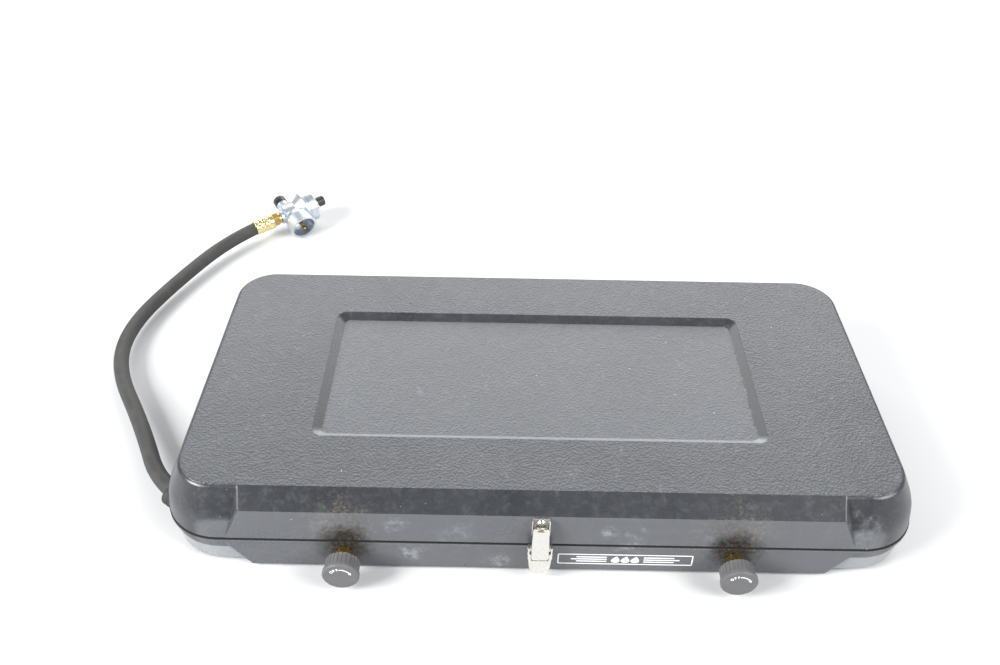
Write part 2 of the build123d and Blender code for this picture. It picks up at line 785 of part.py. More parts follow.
# ---- burners ------------------------------------------------------------------
def make_burner(x, side_name):
    bowl_profile = (
        (0, 11.0),
        (17, 11.0),
        (24, 16.0),
        (33, 29.5),
        (36, 31.0),
        (36, 32.2),
        (32.4, 31.0),
        (23.2, 17.2),
        (16.6, 12.4),
        (0, 12.4),
    )
    tube_end = BURNER_Y - 8.0
    with BuildPart() as bowl:
        with BuildSketch(Plane(origin=(x, BURNER_Y, 0), z_dir=(0, -1, 0), x_dir=(1, 0, 0))):
            with BuildLine():
                Polyline(*bowl_profile, close=True)
            make_face()
        revolve(axis=Axis((x, BURNER_Y, 0), (0, 0, 1)))
        hole = disc(front(x, BURNER_Y - 8, GAS_Z), TUBE_R + RUNNING, 60)
        add(hole, mode=Mode.SUBTRACT)
        screw_hole = disc(Plane.XY.move(Location((x, BURNER_Y, 5))), 2.06, 12)
        add(screw_hole, mode=Mode.SUBTRACT)
    save(bowl, f"burner_bowl_{side_name}")
    with BuildPart() as tube:
        with BuildSketch(front(x, tube_end, GAS_Z)):
            Circle(TUBE_R)
            Circle(TUBE_R - 0.9, mode=Mode.SUBTRACT)
        extrude(amount=tube_end + 97.0)
        with BuildSketch(Plane.XY.offset(GAS_Z)):
            with Locations((x, -84.0)):
                SlotOverall(12, 5, rotation=90)
        extrude(amount=10, both=True, mode=Mode.SUBTRACT)
    save(tube, f"burner_tube_{side_name}")
    cap_profile = (
        (0, 33.4),
        (9, 33.4),
        (9, 31.6),
        (12, 31.6),
        (12, 33.4),
        (34.5, 33.4),
        (35.5, 34.6),
        (35.0, 36.4),
        (31.0, 38.0),
        (20.0, 38.4),
        (18.5, 37.4),
        (14.0, 37.4),
        (12.5, 38.4),
        (0, 38.8),
    )
    with BuildPart() as cap:
        with BuildSketch(Plane(origin=(x, BURNER_Y, 0), z_dir=(0, -1, 0), x_dir=(1, 0, 0))):
            with BuildLine():
                Polyline(*cap_profile, close=True)
            make_face()
        revolve(axis=Axis((x, BURNER_Y, 0), (0, 0, 1)))
        with BuildSketch(Plane.XY.offset(30)):
            with Locations((x, BURNER_Y)):
                with PolarLocations(26.0, PORTS):
                    SlotOverall(9, 1.8)
        extrude(amount=12, mode=Mode.SUBTRACT)
        screw_hole = disc(Plane.XY.move(Location((x, BURNER_Y, 30))), 2.06, 12)
        add(screw_hole, mode=Mode.SUBTRACT)
    save(cap, f"burner_cap_{side_name}")


def make_burner_trim():
    with BuildPart() as burner_screws:
        for x in (-BURNER_X, BURNER_X):
            add(disc(Plane.XY.move(Location((x, BURNER_Y, 8.4))), 2.0, 31.0))
            with BuildSketch(Plane.XY.offset(39.1)):
                with Locations((x, BURNER_Y)):
                    Circle(3.8)
            extrude(amount=1.8, taper=25)
            with BuildSketch(Plane.XY.offset(40.2)):
                with Locations((x, BURNER_Y)):
                    Rectangle(7, 0.9)
            extrude(amount=1, mode=Mode.SUBTRACT)
    save(burner_screws, "burner_screws")
    floor = TRAY_BOTTOM + SHEET + GAP
    with BuildPart() as burner_brackets:
        for x in (-BURNER_X, BURNER_X):
            add(block((x - 30, BURNER_Y - 9, floor), (x + 30, BURNER_Y + 9, floor + 1.2)))
            for sign in (-1, 1):
                low = min(sign * 14, sign * 15.2)
                add(
                    block(
                        (x + low, BURNER_Y - 9, floor + 1.2),
                        (x + low + 1.2, BURNER_Y + 9, 9.5),
                    )
                )
            add(block((x - 15.2, BURNER_Y - 9, 9.5), (x + 15.2, BURNER_Y + 9, 10.7)))
            hole = disc(Plane.XY.move(Location((x, BURNER_Y, 9))), 2.06, 3)
            add(hole, mode=Mode.SUBTRACT)
    save(burner_brackets, "burner_brackets")


def make_pan():
    """The drip pan over the gas train, with a hole round each burner."""
    inset = TRAY_INSET + SHEET + 3.6
    with BuildPart() as drip_pan:
        with BuildSketch(Plane.XY.offset(PAN_Z - PAN_LIP)):
            with Locations((0, CASE_CY)):
                RectangleRounded(
                    CASE_W - 2 * inset, CASE_D - 2 * inset, CORNER_R - inset
                )
        extrude(amount=PAN_T + PAN_LIP)
        top = drip_pan.edges().filter_by_position(
            Axis.Z, PAN_Z + PAN_T - 0.01, PAN_Z + PAN_T + 0.01
        )
        fillet(top, 0.7)
        with BuildSketch(Plane.XY.offset(PAN_Z - 5.0)):
            with Locations((0, CASE_CY)):
                RectangleRounded(
                    CASE_W - 2 * inset - 2 * PAN_T,
                    CASE_D - 2 * inset - 2 * PAN_T,
                    CORNER_R - inset - PAN_T,
                )
        extrude(amount=5.0, mode=Mode.SUBTRACT)
        with BuildSketch(Plane.XY.offset(PAN_Z - 1)):
            with Locations((-BURNER_X, BURNER_Y), (BURNER_X, BURNER_Y)):
                Circle(PAN_HOLE_R)
        extrude(amount=8, mode=Mode.SUBTRACT)
    save(drip_pan, "drip_pan")


# ---- grate --------------------------------------------------------------------
def make_grate():
    half_w, half_d = GRATE_W / 2, GRATE_D / 2
    corner = 16.0
    with BuildPart() as grate_frame:
        for sign in (-1, 1):
            with BuildLine(Plane.XY.offset(GRATE_Z)):
                FilletPolyline(
                    (0, CASE_CY - half_d),
                    (sign * half_w, CASE_CY - half_d),
                    (sign * half_w, CASE_CY + half_d),
                    (0, CASE_CY + half_d),
                    radius=corner,
                )
            with BuildSketch(side(0, CASE_CY - half_d, GRATE_Z)):
                Circle(FRAME_R)
            sweep()
        for x in (-200, 200):
            for y in (CASE_CY - half_d, CASE_CY + half_d):
                leg_z = PAN_Z + PAN_T + GAP
                leg = Plane.XY.move(Location((x, y, leg_z)))
                add(disc(leg, FRAME_R - 0.4, GRATE_Z - leg_z))
    save(grate_frame, "grate_frame")
    wire_z = GRATE_Z + FRAME_R + WIRE_R - 0.5
    start_y = CASE_CY - half_d - 2
    with BuildPart() as grate_wires:
        for x in (-BURNER_X, BURNER_X):
            for dx in GRATE_WIRES:
                plane = front(x + dx, CASE_CY + half_d + 2, wire_z)
                add(disc(plane, WIRE_R, CASE_CY + half_d + 2 - start_y))
    save(grate_wires, "grate_wires")
    with BuildPart() as grate_bars:
        for y in (-62.0, 62.0):
            bar = side(-half_w + 1, CASE_CY + y, wire_z - 2 * WIRE_R + 0.5)
            add(disc(bar, WIRE_R, GRATE_W - 2))
    save(grate_bars, "grate_bars")


# ---- hose ---------------------------------------------------------------------
def heading(angle, tilt):
    """A unit vector from its angle to +X and its angle upwards."""
    a, t = radians(angle), radians(tilt)
    return Vector(cos(a) * cos(t), sin(a) * cos(t), sin(t))


REG_X = heading(HOSE_HEADING, HOSE_TILT)
REG_SIDE = heading(HOSE_HEADING - 90, 0)
REG_UP = REG_SIDE.cross(REG_X)
CUP_DIR = REG_SIDE * cos(radians(CUP_DROP)) - REG_UP * sin(radians(CUP_DROP))
REG_Z = REG_X.cross(CUP_DIR * -1)
HOSE_END = Vector(*REG_START) + REG_X * HOSE_IN_FERRULE
HOSE_RISE = HOSE_END - REG_X * HOSE_LAST_RUN

HOSE_POINTS = (*HOSE_RUN, tuple(HOSE_RISE), tuple(HOSE_END))


def bend_radii(points):
    """A radius for every bend, set by the shorter of its two runs and its turn."""
    found = []
    for a, b, c in zip(points, points[1:], points[2:]):
        before, after = Vector(*b) - Vector(*a), Vector(*c) - Vector(*b)
        turn = radians(before.get_angle(after))
        run = min(before.length, after.length)
        found.append(HOSE_BEND_SHARE * run / tan(turn / 2))
    return found


def make_hose():
    radii = bend_radii(HOSE_POINTS)
    first = Vector(*HOSE_POINTS[1]) - Vector(*HOSE_POINTS[0])
    with BuildPart() as gas_hose:
        with BuildLine() as route:
            FilletPolyline(*HOSE_POINTS, radius=radii)
        with BuildSketch(Plane(origin=HOSE_POINTS[0], z_dir=first.normalized())):
            Circle(HOSE_R)
        sweep()
    length = route.wires()[0].length
    save(gas_hose, "gas_hose")
    print("hose bend radii", [round(r, 1) for r in radii])
    print("hose length", round(length, 1))
    print("tube volume over section x length", gas_hose.part.volume / (pi * HOSE_R**2 * length))


def first_bend(share):
    """A point and a heading in the hose's first bend, at a share of its turn."""
    points = [Vector(*p) for p in HOSE_POINTS[:3]]
    into = (points[1] - points[0]).normalized()
    out_of = (points[2] - points[1]).normalized()
    turn = radians(into.get_angle(out_of))
    radius = bend_radii(HOSE_POINTS)[0]
    inward = (out_of - into * cos(turn)).normalized()
    begin = points[1] - into * (radius * tan(turn / 2))
    angle = share * turn
    point = begin + into * (radius * sin(angle)) + inward * (radius * (1 - cos(angle)))
    return point, into * cos(angle) + inward * sin(angle)


def along_hose(radius, begin, bend_share):
    """A round bar along the hose, from its first run into its first bend."""
    start = Vector(*HOSE_POINTS[0])
    turning, into = first_bend(0)
    end, _ = first_bend(bend_share)
    with BuildPart() as made:
        with BuildLine():
            Line(start + into * begin, turning)
            TangentArc(turning, end, tangent=into)
        with BuildSketch(Plane(origin=start + into * begin, z_dir=into)):
            Circle(radius)
        sweep()
    return made.part


def make_grommet():
    neck = along_hose(GROMMET_NECK_R, 15.0, 0.33)
    bore = along_hose(HOSE_R + GAP, 10.0, 0.6)
    point, out = first_bend(GROMMET_AT)
    mouth = Plane(origin=point, z_dir=out)
    with BuildPart() as hose_grommet:
        add(neck)
        add(disc(mouth, *GROMMET_COLLAR))
        add(bore, mode=Mode.SUBTRACT)
    save(hose_grommet, "hose_grommet")


def ferrule(start, along, length):
    """A crimped brass sleeve, ringed where the crimping dies closed on it."""
    with BuildPart() as made:
        add(disc(Plane(origin=start, z_dir=along), 8.0, length))
        step = (length - 5.0) / 3
        for i in range(3):
            groove = start + along * (3.0 + i * step)
            add(
                ring(Plane(origin=groove, z_dir=along), 9.0, 7.5, step * 0.45),
                mode=Mode.SUBTRACT,
            )
        bore = disc(Plane(origin=start, z_dir=along), HOSE_R + RUNNING, length - 0.8)
        add(bore, mode=Mode.SUBTRACT)
        add(disc(Plane(origin=start, z_dir=along), 3.0, length), mode=Mode.SUBTRACT)
    return made.part


def make_inlet():
    """The brass elbow inside the case that joins the hose to the manifold."""
    start = Vector(*HOSE_POINTS[0])
    along = (Vector(*HOSE_POINTS[1]) - start).normalized()
    with BuildPart() as inlet_ferrule:
        add(ferrule(start + along * 12.0, along * -1, 13.0))
    save(inlet_ferrule, "inlet_ferrule")
    with BuildPart() as inlet_elbow:
        base = Plane.XY.move(Location((ELBOW[0], ELBOW[1], 13.5)))
        add(disc(base, 6.4, 12.5))
        to_hose = Plane(origin=start - along * 30.0, z_dir=along)
        add(disc(to_hose, 5.2, 28.7))
        nozzle = Plane(origin=start - along * 1.3, z_dir=along)
        add(disc(nozzle, 2.9, 0.6))
        out = at(ELBOW[0], ELBOW[1], GAS_Z, (1, 0, 0), (0, 1, 0))
        add(disc(out, 5.0, 13.0))
        socket = at(ELBOW[0] + 5.8, ELBOW[1], GAS_Z, (1, 0, 0), (0, 1, 0))
        add(disc(socket, 3.0 + RUNNING, 10), mode=Mode.SUBTRACT)
    save(inlet_elbow, "inlet_elbow")


# ---- regulator ----------------------------------------------------------------
def reg_plane(x, y=0.0, z=0.0, normal="x"):
    """A sketch plane in the regulator's own frame."""
    y_dir = CUP_DIR * -1
    origin = Vector(*REG_START) + REG_X * x + y_dir * y + REG_Z * z
    normals = {"x": REG_X, "-x": REG_X * -1, "y": y_dir, "-y": CUP_DIR, "z": REG_Z}
    across = {"x": y_dir, "-x": y_dir, "y": REG_X, "-y": REG_X, "z": REG_X}
    return Plane(origin=origin, z_dir=normals[normal], x_dir=across[normal])


def make_hose_fittings():
    with BuildPart() as hose_ferrule:
        add(ferrule(Vector(*REG_START), REG_X, FERRULE_L))
    save(hose_ferrule, "hose_ferrule")
    with BuildPart() as hose_fitting:
        add(nut(reg_plane(FERRULE_L + GAP), 12.4, 2.5, 6.4))
        add(ring(reg_plane(FERRULE_L + GAP + 6.4), 5.6, 2.5, 2.6))
        add(ring(reg_plane(FERRULE_L + GAP + 9.0), 4.2, 2.5, 5.0))
    save(hose_fitting, "hose_fitting")


def make_regulator():
    with BuildPart() as regulator_body:
        add(disc(reg_plane(30.8), 7.4, 8.0))
        add(disc(reg_plane(36.0), BODY_R, 20.5))
        with BuildSketch(reg_plane(48.0)):
            Circle(BODY_R)
        with BuildSketch(reg_plane(57.4)):
            Circle(16.2)
        loft()
        add(disc(reg_plane(57.4), FLANGE_R, 3.8))
        cup = reg_plane(CUP_X, -6.0, 0, "-y")
        with BuildSketch(cup):
            Circle(CUP_R - 2.6)
        with BuildSketch(cup.offset(6.0)):
            Circle(CUP_R)
        loft()
        add(disc(cup.offset(6.0), CUP_R, CUP_OUT - 12.0))
        add(disc(reg_plane(41.0, 4.0, 0, "y"), 6.4, 12.0))
        with BuildSketch(reg_plane(41.5, 0, 0, "z")):
            Rectangle(13, 18)
        extrude(amount=8.6, both=True)
        mouth = reg_plane(CUP_X, -CUP_OUT, 0, "y")
        add(disc(mouth.offset(-1), CUP_BORE_R, CUP_DEPTH + 1), mode=Mode.SUBTRACT)
        add(disc(mouth, 2.0 + RUNNING, CUP_DEPTH + 4.0), mode=Mode.SUBTRACT)
        add(disc(reg_plane(30), 4.2 + RUNNING, 5.8), mode=Mode.SUBTRACT)
        for y, z in BONNET_SCREWS:
            add(disc(reg_plane(57.4, y, z), 1.3 + RUNNING, 9), mode=Mode.SUBTRACT)
    save(regulator_body, "regulator_body")
    with BuildPart() as regulator_bonnet:
        add(disc(reg_plane(61.5), FLANGE_R, 9.0))
        rim = regulator_bonnet.edges().sort_by(Axis(REG_START, tuple(REG_X)))[-1]
        fillet(rim, 1.5)
        add(disc(reg_plane(70.0), 6.6, 4.0))
        add(disc(reg_plane(66.0), 3.0 + RUNNING, 10), mode=Mode.SUBTRACT)
        for y, z in BONNET_SCREWS:
            add(disc(reg_plane(61, y, z), 1.3 + RUNNING, 12), mode=Mode.SUBTRACT)
    save(regulator_bonnet, "regulator_bonnet")
    with BuildPart() as bonnet_screws:
        for y, z in BONNET_SCREWS:
            add(disc(reg_plane(57.7, y, z), 1.3, 13.1))
            add(disc(reg_plane(70.8, y, z), 2.2, 1.4))
    save(bonnet_screws, "bonnet_screws")
    with BuildPart() as adjuster_cap:
        add(disc(reg_plane(74.3), 5.6, 9.5))
        rim = adjuster_cap.edges().sort_by(Axis(REG_START, tuple(REG_X)))[-1]
        fillet(rim, 1.6)
        add(disc(reg_plane(66.3), 3.0, 8.2))
    save(adjuster_cap, "adjuster_cap")
    with BuildPart() as port_cap:
        add(disc(reg_plane(41.0, 16.3, 0, "y"), 7.0, 8.5))
        rim = port_cap.edges().sort_by(Axis(REG_START, tuple(CUP_DIR)))[0]
        fillet(rim, 2.2)
    save(port_cap, "port_cap")
    with BuildPart() as probe_pin:
        tip = reg_plane(CUP_X, -CUP_OUT - 1.5, 0, "y")
        add(disc(tip, 1.5, CUP_DEPTH + 4.5))
        add(disc(tip.offset(5.0), 2.0, CUP_DEPTH - 0.8))
    save(probe_pin, "probe_pin")
    with BuildPart() as cup_seal:
        seal = reg_plane(CUP_X, -CUP_OUT + CUP_DEPTH - 3.0, 0, "y")
        add(ring(seal, 5.0, 2.0 + RUNNING, 2.7))
    save(cup_seal, "cup_seal")


def main():
    os.makedirs("parts", exist_ok=True)
    make_tray()
    make_feet()
    make_lid()
    make_hinges()
    make_catch()
    make_latch_base()
    make_lever()
    make_link()
    for x, name in ((-BURNER_X, "left"), (BURNER_X, "right")):
        make_knob(x, f"knob_{name}")
        make_stem(x, f"stem_{name}")
        make_burner(x, name)
    make_valve(-BURNER_X, "valve_left", (-1, 1))
    make_valve(BURNER_X, "valve_right", (-1,))
    make_valve_trim()
    make_burner_trim()
    make_pan()
    make_grate()
    make_hose()
    make_grommet()
    make_inlet()
    make_hose_fittings()
    make_regulator()


main()
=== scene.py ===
"""Two-burner camp stove, closed and latched, with its gas hose and regulator, on a white floor."""

import math

import bmesh
import bpy
from mathutils import Matrix, Vector


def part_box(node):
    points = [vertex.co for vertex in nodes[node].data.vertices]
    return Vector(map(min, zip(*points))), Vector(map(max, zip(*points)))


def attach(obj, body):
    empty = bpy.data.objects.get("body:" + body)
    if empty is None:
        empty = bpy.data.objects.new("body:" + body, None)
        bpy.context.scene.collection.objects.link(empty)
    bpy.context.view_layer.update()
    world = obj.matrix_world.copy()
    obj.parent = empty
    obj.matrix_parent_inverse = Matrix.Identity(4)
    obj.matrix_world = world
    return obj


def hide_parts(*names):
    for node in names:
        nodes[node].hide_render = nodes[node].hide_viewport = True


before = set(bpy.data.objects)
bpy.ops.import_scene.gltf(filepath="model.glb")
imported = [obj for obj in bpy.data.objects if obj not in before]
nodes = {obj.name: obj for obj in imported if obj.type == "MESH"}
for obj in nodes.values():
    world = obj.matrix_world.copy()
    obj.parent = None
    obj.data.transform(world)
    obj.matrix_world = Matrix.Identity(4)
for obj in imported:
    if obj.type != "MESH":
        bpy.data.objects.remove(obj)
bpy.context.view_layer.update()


# ---- camera --------------------------------------------------------------------
CAMERA_AT = (-0.03001, -0.57417, 0.58903)
CAMERA_PITCH = math.radians(39.26)  # below the horizon
CAMERA_YAW = math.radians(0.18)
CAMERA_ROLL = math.radians(-0.91)
CAMERA_LENS = 34.43  # on a 36 mm sensor


def make_camera():
    data = bpy.data.cameras.new("camera")
    data.lens = CAMERA_LENS
    data.sensor_width = 36.0
    camera = bpy.data.objects.new("camera", data)
    right = Vector((math.cos(CAMERA_YAW), math.sin(CAMERA_YAW), 0))
    level = Vector((-math.sin(CAMERA_YAW), math.cos(CAMERA_YAW), 0))
    forward = level * math.cos(CAMERA_PITCH) - Vector((0, 0, math.sin(CAMERA_PITCH)))
    up = right.cross(forward)
    x = right * math.cos(CAMERA_ROLL) - up * math.sin(CAMERA_ROLL)
    y = right * math.sin(CAMERA_ROLL) + up * math.cos(CAMERA_ROLL)
    turn = Matrix((x, y, -forward)).transposed()
    camera.matrix_world = Matrix.Translation(CAMERA_AT) @ turn.to_4x4()
    bpy.context.collection.objects.link(camera)
    bpy.context.scene.camera = camera


make_camera()

# ---- hose ----------------------------------------------------------------------
HOSE_RADIUS = 0.00665
HOSE_POINTS = (
    (-0.2508, -0.0983, 0.0188),
    (-0.2936, -0.0795, 0.0170),
    (-0.3322, -0.0034, 0.0130),
    (-0.3787, 0.0717, 0.0110),
    (-0.3855, 0.1324, 0.0108),
    (-0.3626, 0.2009, 0.0112),
    (-0.32131, 0.28156, 0.01461),
    (-0.28408, 0.30861, 0.01864),
)


def make_hose():
    curve = bpy.data.curves.new("gas_hose_tube", "CURVE")
    curve.dimensions = "3D"
    spline = curve.splines.new("NURBS")
    spline.points.add(len(HOSE_POINTS) - 1)
    for point, place in zip(spline.points, HOSE_POINTS):
        point.co = (*place, 1)
        point.radius = HOSE_RADIUS
    spline.order_u = 3
    spline.use_endpoint_u = True
    spline.resolution_u = 24
    curve.bevel_depth = 1.0  # times each point's radius, which also keeps the curve's box true
    curve.bevel_resolution = 8
    curve.use_fill_caps = True
    hose = bpy.data.objects.new("gas_hose_tube", curve)
    bpy.context.collection.objects.link(hose)
    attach(hose, "case")
    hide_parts("gas_hose")
    return hose


hose = make_hose()


# ---- materials -----------------------------------------------------------------
class Paint:
    """A Principled material whose textures lie in the object's own metres."""

    def __init__(self, name, color, roughness, metallic=0.0, **sockets):
        self.material = bpy.data.materials.new(name)
        self.material.use_nodes = True
        self.tree = self.material.node_tree
        self.shader = self.tree.nodes["Principled BSDF"]
        self.color = (*color, 1)
        self.rough = roughness
        self.shader.inputs["Metallic"].default_value = metallic
        for socket, value in sockets.items():
            self.shader.inputs[socket.replace("_", " ")].default_value = value
        self.place = self.node("ShaderNodeTexCoord").outputs["Object"]
        self.facing = self.place.node.outputs["Normal"]
        self.normal = None

    def node(self, kind, links=None, **settings):
        made = self.tree.nodes.new(kind)
        for name, value in settings.items():
            setattr(made, name, value)
        for socket, value in (links or {}).items():
            self.put(made.inputs[socket], value)
        return made

    def put(self, socket, value):
        if isinstance(value, bpy.types.NodeSocket):
            self.tree.links.new(value, socket)
        else:
            socket.default_value = value

    def math(self, operation, a, b=0.0):
        return self.node("ShaderNodeMath", {0: a, 1: b}, operation=operation).outputs[0]

    def add(self, a, b):
        return self.math("ADD", a, b)

    def times(self, a, b):
        return self.math("MULTIPLY", a, b)

    def ramp(self, value, low, high, start=0.0, end=1.0):
        """start below low, end above high, and smooth between."""
        links = {"Value": value, "From Min": low, "From Max": high, "To Min": start, "To Max": end}
        made = self.node("ShaderNodeMapRange", links, interpolation_type="SMOOTHSTEP")
        return made.outputs[0]

    def near(self, value, middle, inner, outer):
        """1 within inner of middle, fading to 0 at outer from it."""
        away = self.math("ABSOLUTE", self.math("SUBTRACT", value, middle))
        return self.ramp(away, inner, outer, 1.0, 0.0)

    def stretched(self, x=1.0, y=1.0, z=1.0):
        return self.node("ShaderNodeMapping", {"Vector": self.place, "Scale": (x, y, z)}).outputs[0]

    def noise(self, size, detail=2.0, roughness=0.5, distortion=0.0, place=None):
        """Noise whose features are about size metres across, from 0 to 1."""
        links = {"Vector": place or self.place, "Scale": 1 / size, "Detail": detail}
        links["Roughness"] = roughness
        links["Distortion"] = distortion
        return self.node("ShaderNodeTexNoise", links).outputs[0]

    def cells(self, size, feature="F1", output="Distance"):
        links = {"Vector": self.place, "Scale": 1 / size}
        return self.node("ShaderNodeTexVoronoi", links, feature=feature).outputs[output]

    def axes(self, vector=None):
        made = self.node("ShaderNodeSeparateXYZ", {0: vector or self.place})
        return made.outputs[0], made.outputs[1], made.outputs[2]

    def over(self, mask, color):
        """The paint's colour turns to color where mask is 1."""
        made = self.node("ShaderNodeMix", data_type="RGBA")
        self.put(made.inputs[0], mask)
        self.put(made.inputs[6], self.color)
        self.put(made.inputs[7], (*color, 1))
        self.color = made.outputs[2]

    def roughen(self, mask, roughness):
        made = self.node("ShaderNodeMix", data_type="FLOAT")
        self.put(made.inputs[0], mask)
        self.put(made.inputs[2], self.rough)
        self.put(made.inputs[3], roughness)
        self.rough = made.outputs[0]

    def bump(self, height, depth, strength=1.0):
        """Raises the surface by depth metres where height is 1."""
        links = {"Height": height, "Distance": depth, "Strength": strength}
        if self.normal is not None:
            links["Normal"] = self.normal
        self.normal = self.node("ShaderNodeBump", links).outputs[0]

    def spot(self, centre, radius, ragged=0.0, lumps=0.006):
        """1 inside a ragged round patch about centre, fading to 0 at radius."""
        links = {0: self.place, 1: centre}
        away = self.node("ShaderNodeVectorMath", links, operation="DISTANCE").outputs["Value"]
        far = self.math("DIVIDE", away, radius)
        if ragged:
            edge = self.math("SUBTRACT", self.noise(lumps, 5, 0.65, 1.0), 0.5)
            far = self.add(far, self.times(edge, ragged))
        return self.ramp(far, 0.35, 1.0, 1.0, 0.0)

    def done(self):
        self.put(self.shader.inputs["Base Color"], self.color)
        self.put(self.shader.inputs["Roughness"], self.rough)
        if self.normal is not None:
            self.put(self.shader.inputs["Normal"], self.normal)
        return self.material


# The first colour below is the grey of the dust film, and also of the painted sheen and painted
# highlight on the enamel.
FILM_AND_SHEEN = (0.34, 0.355, 0.38)
DUST = (0.34, 0.33, 0.31)
TAN = (0.38, 0.30, 0.20)
PALE = (0.55, 0.57, 0.60)
ENAMEL = (0.024, 0.026, 0.030)
SOOT = (0.006, 0.006, 0.006)
GAP_BLACK = (0.003, 0.003, 0.003)
GRAIN_SIZE, GRAIN_DEPTH = 0.0017, 0.00055
FRONT_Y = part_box("lid_shell")[0][1]
KNOBS_X = [sum(corner[0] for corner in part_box(name)) / 2 for name in ("knob_left", "knob_right")]
GAP_Z = 0.0317  # the open joint between the lid and the tray
SEAM_Z = 0.0312  # the dust about it
RECESS_MID_Y = 0.010
RECESS_FRONT_Y = -0.0625  # the sunk floor's sloped front side
RECESS_FLOOR = (0.1671, 0.0694)  # half of the sunk floor's size, at the foot of its sloped sides


def speckle(paint, size, share, radius, color):
    """Sparse specks: one in each cell of that size, kept in a share of the cells."""
    away = paint.cells(size)
    pick = paint.node("ShaderNodeSeparateColor", {0: paint.cells(size, output="Color")}).outputs[0]
    near = paint.ramp(away, radius * 0.6, radius, 1.0, 0.0)
    paint.over(paint.times(near, paint.ramp(pick, 1 - share, 1 - share + 0.01)), color)


def enamel(name, lid):
    """Black stove enamel: a leather grain on the lid's top, smooth elsewhere, dusty and smudged,
    with a painted sheen on its top and front faces.
    """
    paint = Paint(name, ENAMEL, 0.26, IOR=1.5)
    x, y, z = paint.axes()
    top = paint.ramp(paint.axes(paint.facing)[2], 0.93, 0.985)
    front = paint.ramp(paint.axes(paint.facing)[1], -0.97, -0.9, 1.0, 0.0)
    handled_film_and_sheen(paint, top, front)
    if lid:
        paint.over(paint.times(recess_dust(paint, x, y, z), 0.42), TAN)
        lid_top_streaks(paint, top)
        recess_tone_and_slope_highlight(paint, y, z, top)
    for centre, radius, strength in SMUDGES:
        smudge(paint, centre, radius, strength)
    for knob_x in KNOBS_X:
        knob_dirt(paint, knob_x)
    joint_line(paint, z, front)
    if not lid:
        pale_corners(paint, y, z)
    speckle(paint, 0.016, 0.45, 0.032, PALE)
    speckle(paint, 0.0062, 0.30, 0.055, DUST)
    speckle(paint, 0.047, 0.16, 0.016, (0.85, 0.55, 0.12))
    grain = paint.cells(GRAIN_SIZE, "SMOOTH_F1")
    pebble = paint.times(grain, top) if lid else paint.times(grain, 0.05)
    paint.bump(pebble, GRAIN_DEPTH)
    paint.bump(paint.noise(0.0024, 2, 0.5), 0.00003, 0.6)
    return paint.done()


def handled_film_and_sheen(paint, top, front):
    """The thin grey film of handling and dust that lightens the black, and a painted sheen on the
    top and front faces.
    """
    haze = paint.ramp(paint.noise(0.13, 4, 0.6, 0.6), 0.30, 0.80)
    mottle = paint.ramp(paint.noise(0.0075, 6, 0.75, 0.6), 0.44, 0.76)
    film = paint.ramp(paint.noise(0.0011, 3, 0.7), 0.50, 0.75)
    veil = paint.add(paint.times(haze, 0.05), paint.times(mottle, 0.07))
    paint.over(paint.add(veil, paint.times(film, 0.06)), FILM_AND_SHEEN)
    # Painted sheen: the top faces a little lighter and the front faces more, standing in for
    # reflected light.
    paint.over(paint.add(paint.times(top, 0.11), paint.times(front, 0.22)), FILM_AND_SHEEN)
    paint.roughen(paint.add(paint.times(haze, 0.3), paint.times(mottle, 0.5)), 0.52)


def lid_top_streaks(paint, top):
    """Pale wiping streaks along the lid's top, which is also a little duller."""
    streaks = paint.noise(0.009, 5, 0.7, 0.5, paint.stretched(1.0, 0.25, 1.0))
    paint.over(paint.times(paint.times(paint.ramp(streaks, 0.60, 0.82), top), 0.14), PALE)
    paint.roughen(top, 0.42)


def recess_tone_and_slope_highlight(paint, y, z, top):
    """The sunk panel's floor is painted a shade lighter, and its near slope carries a painted
    highlight.
    """
    above_wall = paint.ramp(z, 0.060, 0.064)
    well = paint.times(paint.ramp(z, 0.0655, 0.0700, 1.0, 0.0), above_wall)
    well = paint.times(well, paint.ramp(y, -0.080, -0.070))
    paint.over(paint.times(paint.times(well, top), 0.10), FILM_AND_SHEEN)
    # Painted highlight: the near slope of the sunk panel, facing back towards bright light, is
    # painted lighter.
    back_facing = paint.ramp(paint.axes(paint.facing)[1], 0.10, 0.45)
    near_slope = paint.near(y, RECESS_FRONT_Y, 0.004, 0.007)
    slope_highlight = paint.times(paint.times(back_facing, above_wall), near_slope)
    paint.over(paint.times(slope_highlight, 0.80), FILM_AND_SHEEN)


def smudge(paint, centre, radius, strength):
    """A ragged pale smear on the front."""
    patch = paint.spot(centre, radius, 2.2, 0.019)
    patch = paint.times(patch, paint.ramp(paint.noise(0.0060, 6, 0.75, 0.2), 0.40, 0.80))
    paint.over(paint.times(patch, strength), PALE)
    paint.roughen(patch, 0.6)


def knob_dirt(paint, knob_x):
    """Tan grit above a knob, and soot round the hole that its nut comes out of."""
    grit = paint.ramp(paint.noise(0.0028, 6, 0.75), 0.44, 0.70)
    dusty = paint.spot((knob_x, FRONT_Y, 0.047), 0.034, 1.8, 0.012)
    paint.over(paint.times(paint.times(dusty, grit), 0.32), TAN)
    sooty = paint.spot((knob_x, FRONT_Y, 0.0275), 0.026, 0.9, 0.006)
    paint.over(paint.times(sooty, 0.93), SOOT)
    paint.roughen(sooty, 0.45)
    paint.over(paint.times(paint.times(sooty, grit), 0.22), TAN)


def joint_line(paint, z, front):
    """Dust and shadow at the joint between the lid and the tray."""
    paint.over(paint.times(seam_dirt(paint, z), paint.times(front, 0.5)), TAN)
    gap = paint.near(z, GAP_Z, 0.0007, 0.0013)
    paint.over(paint.times(gap, 0.95), GAP_BLACK)
    paint.roughen(gap, 0.9)


